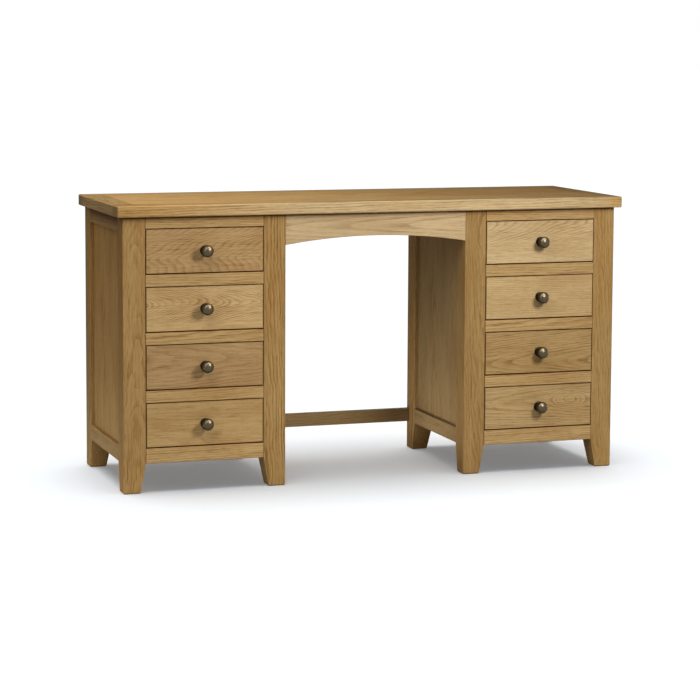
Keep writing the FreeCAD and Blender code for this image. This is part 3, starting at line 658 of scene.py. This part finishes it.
def knob_profile(head_radius, length):
    """Distances (from the axis, from the drawer front) along the outline of a knob, from base to crown."""
    profile = [(KNOB_BASE_RADIUS, 0.0)]
    shoulder = KNOB_BASE_RADIUS - KNOB_BASE_EDGE
    for step in range(KNOB_EDGE_POINTS + 1):
        angle = math.pi / 2 * step / KNOB_EDGE_POINTS
        profile.append((shoulder + KNOB_BASE_EDGE * math.cos(angle),
                        KNOB_BASE_THICK - KNOB_BASE_EDGE + KNOB_BASE_EDGE * math.sin(angle)))
    head_middle = length - KNOB_HEAD_HALF
    start = -math.acos(KNOB_NECK_RADIUS / head_radius)
    neck_end = head_middle + KNOB_HEAD_HALF * math.sin(start)
    for step in range(1, KNOB_NECK_POINTS):
        share = step / KNOB_NECK_POINTS
        profile.append((KNOB_NECK_RADIUS + (shoulder - KNOB_NECK_RADIUS) * (1 - share) ** KNOB_NECK_FLARE,
                        KNOB_BASE_THICK + (neck_end - KNOB_BASE_THICK) * share))
    for step in range(KNOB_ARC_POINTS + 1):
        angle = start + (math.pi / 2 - start) * step / KNOB_ARC_POINTS
        profile.append((head_radius * math.cos(angle), head_middle + KNOB_HEAD_HALF * math.sin(angle)))
    return profile


def turned_knob(node, metal):
    """A smooth turned knob in place of the one cut in flats."""
    low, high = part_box(node)
    centre = (low + high) / 2
    front = high.y
    length = high.y - low.y
    shape = bmesh.new()
    verts = []
    for radius, reach in knob_profile((high.x - low.x) / 2, length):
        verts.append(shape.verts.new((centre.x + radius, front - reach, centre.z)))
    edges = [shape.edges.new(pair) for pair in zip(verts, verts[1:])]
    bmesh.ops.spin(shape, geom=verts + edges, cent=(centre.x, front, centre.z), axis=(0, 1, 0),
                   angle=2 * math.pi, steps=KNOB_STEPS, use_merge=True)
    bmesh.ops.remove_doubles(shape, verts=shape.verts, dist=MERGE_DISTANCE)
    bmesh.ops.holes_fill(shape, edges=shape.edges)
    bmesh.ops.recalc_face_normals(shape, faces=shape.faces)
    # The flat back of the base is the one face with more than four corners
    for face in shape.faces:
        face.smooth = len(face.verts) <= 4
    knob = place_mesh(node.replace("_knob", "_turned_knob"), shape, metal)
    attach(knob, node.replace("_knob", ""))
    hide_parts(node)


def fit_knobs():
    metal = knob_metal(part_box("left_drawer_1_knob")[1].y)
    for body in frame["bodies"]:
        if body + "_knob" in frame["nodes"]:
            turned_knob(body + "_knob", metal)


def screw_steel():
    """Zinc-plated steel with a fine mottle."""
    finish = Finish(bpy.data.materials.new("screw_steel"))
    mottle = finish.noise(finish.coordinates(), SCREW_MOTTLE_LUMPS)
    stain = finish.math("MULTIPLY", mottle, SCREW_STAIN)
    colour = finish.mix(stain, linear(SCREW_COLOUR), linear(KNOB_DARK))
    rough = finish.math("MULTIPLY_ADD", mottle, SCREW_MOTTLE_ROUGHNESS, SCREW_ROUGHNESS)
    return metal_surface(finish, colour, rough)


def add_screw(name, place, facing, body, steel):
    """The slotted head of a screw, lying on the surface at a place and looking one way."""
    shape = bmesh.new()
    bmesh.ops.create_cone(shape, cap_ends=True, segments=SCREW_SEGMENTS, radius1=SCREW_RADIUS,
                          radius2=SCREW_TOP_RADIUS, depth=SCREW_HEAD,
                          matrix=Matrix.Translation((0, 0, SCREW_HEAD / 2)))
    for side in (-1, 1):
        bmesh.ops.bisect_plane(shape, geom=shape.verts[:] + shape.edges[:] + shape.faces[:],
                               dist=SLOT_CUT_DISTANCE, plane_co=(side * SLOT_HALF, 0, 0), plane_no=(1, 0, 0))
    slot_faces = [face for face in shape.faces
                  if face.normal.z > LOOKS_UP and abs(face.calc_center_median().x) < SLOT_HALF]
    sunk = bmesh.ops.extrude_face_region(shape, geom=slot_faces)["geom"]
    bmesh.ops.delete(shape, geom=slot_faces, context="FACES")
    moved = [item for item in sunk if isinstance(item, bmesh.types.BMVert)]
    bmesh.ops.translate(shape, verts=moved, vec=(0, 0, -SLOT_DEPTH))
    turn = Vector(facing).to_track_quat("Z", "Y").to_matrix().to_4x4()
    bmesh.ops.transform(shape, verts=shape.verts, matrix=Matrix.Translation(place) @ turn)
    bmesh.ops.recalc_face_normals(shape, faces=shape.faces)
    screw = place_mesh(name, shape, steel)
    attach(screw, body)


def button_places():
    """The middle of each wooden button under the top, on the face that looks down."""
    shape = bmesh.new()
    shape.from_mesh(frame["nodes"]["top_buttons"].data)
    bmesh.ops.remove_doubles(shape, verts=shape.verts, dist=MERGE_DISTANCE)
    places = []
    seen = set()
    for start in shape.verts:
        if start in seen:
            continue
        seen.add(start)
        island = [start]
        # The island grows while it is walked
        for vert in island:
            others = [edge.other_vert(vert) for edge in vert.link_edges]
            fresh = [other for other in others if other not in seen]
            seen.update(fresh)
            island.extend(fresh)
        top = max(vert.co.z for vert in island)
        bottom = min(vert.co.z for vert in island)
        upper = [vert.co for vert in island if vert.co.z > top - BUTTON_LEVEL]
        middle = sum(upper, Vector()) / len(upper)
        places.append(Vector((middle.x, middle.y, bottom)))
    shape.free()
    return places


def drive_screws():
    """A screw behind each knob and one under each button."""
    steel = screw_steel()
    for body in frame["bodies"]:
        if body + "_knob" in frame["nodes"]:
            knob = centre_of(body + "_knob")
            inner_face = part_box(body + "_front")[1].y
            add_screw(body + "_knob_screw", Vector((knob.x, inner_face, knob.z)), (0, 1, 0), body, steel)
    for number, place in enumerate(button_places(), 1):
        add_screw("top_button_screw_%d" % number, place, (0, 0, -1), "carcass", steel)


def lay_floor():
    """A pale floor whose own light keeps it white to the horizon round the shadow and lights nothing else."""
    finish = Finish(bpy.data.materials.new("studio_floor"))
    distance = finish.vector("LENGTH", finish.coordinates(), output="Value")
    far = finish.ease(distance, FLOOR_NEAR, FLOOR_FAR)
    pale = finish.add("ShaderNodeBsdfDiffuse", {
        "Color": finish.mix(far, linear(FLOOR_COLOUR), linear(FLOOR_FAR_COLOUR))})
    strength = finish.math("MULTIPLY_ADD", far, FLOOR_FAR_GLOW - FLOOR_GLOW, FLOOR_GLOW)
    glow = finish.add("ShaderNodeEmission", {
        "Color": FLOOR_GLOW_COLOUR, "Strength": finish.math("MULTIPLY", finish.shown_rays(), strength)})
    both = finish.add("ShaderNodeAddShader", {0: pale.outputs["BSDF"], 1: glow.outputs["Emission"]})
    shape = bmesh.new()
    bmesh.ops.create_grid(shape, x_segments=1, y_segments=1, size=FLOOR_HALF)
    floor = place_mesh("studio_floor", shape, finish.surface(both.outputs["Shader"]))
    return floor


def link_group(name, pieces, state):
    """A group that includes the given pieces in a lamp's work, or excludes them from it."""
    group = bpy.data.collections.new(name)
    for piece in pieces:
        group.objects.link(piece)
    for member in group.collection_objects:
        member.light_linking.link_state = state
    return group


def soft_lamp(name, floor, place, aim, width, height, power, tint=WHITE_LIGHT, only=(), spares=()):
    """A soft lamp that lights the table, or only some pieces of it, and leaves the floor alone."""
    data = bpy.data.lights.new(name, "AREA")
    data.energy = power
    data.color = tint
    data.shape = "RECTANGLE"
    data.size = width
    data.size_y = height
    lamp = bpy.data.objects.new(name, data)
    lamp.location = place
    lamp.rotation_euler = (Vector(place) - Vector(aim)).to_track_quat("Z", "Y").to_euler()
    bpy.context.scene.collection.objects.link(lamp)
    if only:
        lit = link_group(name + "_lights", [bpy.data.objects[piece] for piece in only], "INCLUDE")
    else:
        lit = link_group(name + "_spares", [floor, *(bpy.data.objects[piece] for piece in spares)], "EXCLUDE")
    lamp.light_linking.receiver_collection = lit


def light_studio(floor):
    """Soft lamps round the table, an even floor and a white surround."""
    for name, lamp in LAMPS.items():
        soft_lamp(name, floor, **lamp)
    only_floor = link_group("only_floor", [floor], "INCLUDE")
    no_stretcher = link_group("no_stretcher", [frame["nodes"]["back_stretcher"]], "EXCLUDE")
    for name, lamp in FLOOR_LAMPS.items():
        data = bpy.data.lights.new(name, "SUN")
        data.energy = lamp["strength"]
        data.angle = lamp["spread"]
        overhead = bpy.data.objects.new(name, data)
        overhead.rotation_euler = lamp["tilt"]
        overhead.light_linking.receiver_collection = only_floor
        overhead.light_linking.blocker_collection = no_stretcher
        bpy.context.scene.collection.objects.link(overhead)

    surround = Finish(bpy.data.worlds.new("studio"))
    strength = surround.at_least(surround.shown_rays(), SKY_LIGHT)
    background = surround.add("ShaderNodeBackground", {"Color": (*WHITE_LIGHT, 1.0), "Strength": strength})
    bpy.context.scene.world = surround.surface(background.outputs["Background"], "ShaderNodeOutputWorld")


def set_camera():
    data = bpy.data.cameras.new("camera")
    data.sensor_width = SENSOR_WIDTH
    data.lens = SENSOR_WIDTH * CAMERA_FOCUS_PIXELS / IMAGE_PIXELS
    data.shift_y = CAMERA_SHIFT
    camera = bpy.data.objects.new("camera", data)
    turn = Matrix.Rotation(-CAMERA_YAW, 4, "Z") @ Matrix.Rotation(math.pi / 2 - CAMERA_PITCH, 4, "X")
    camera.matrix_world = Matrix.Translation(CAMERA_PLACE) @ turn @ Matrix.Rotation(CAMERA_ROLL, 4, "Z")
    bpy.context.scene.collection.objects.link(camera)
    bpy.context.scene.camera = camera


finish_boards()
for side in SIDES:
    finish_pedestal(side)
for node in ("drawer_kickers", "top_buttons"):
    dress(node, **BLOCK_STYLE)
fit_knobs()
drive_screws()
light_studio(lay_floor())
set_camera()
bpy.context.scene.view_settings.view_transform = "Standard"
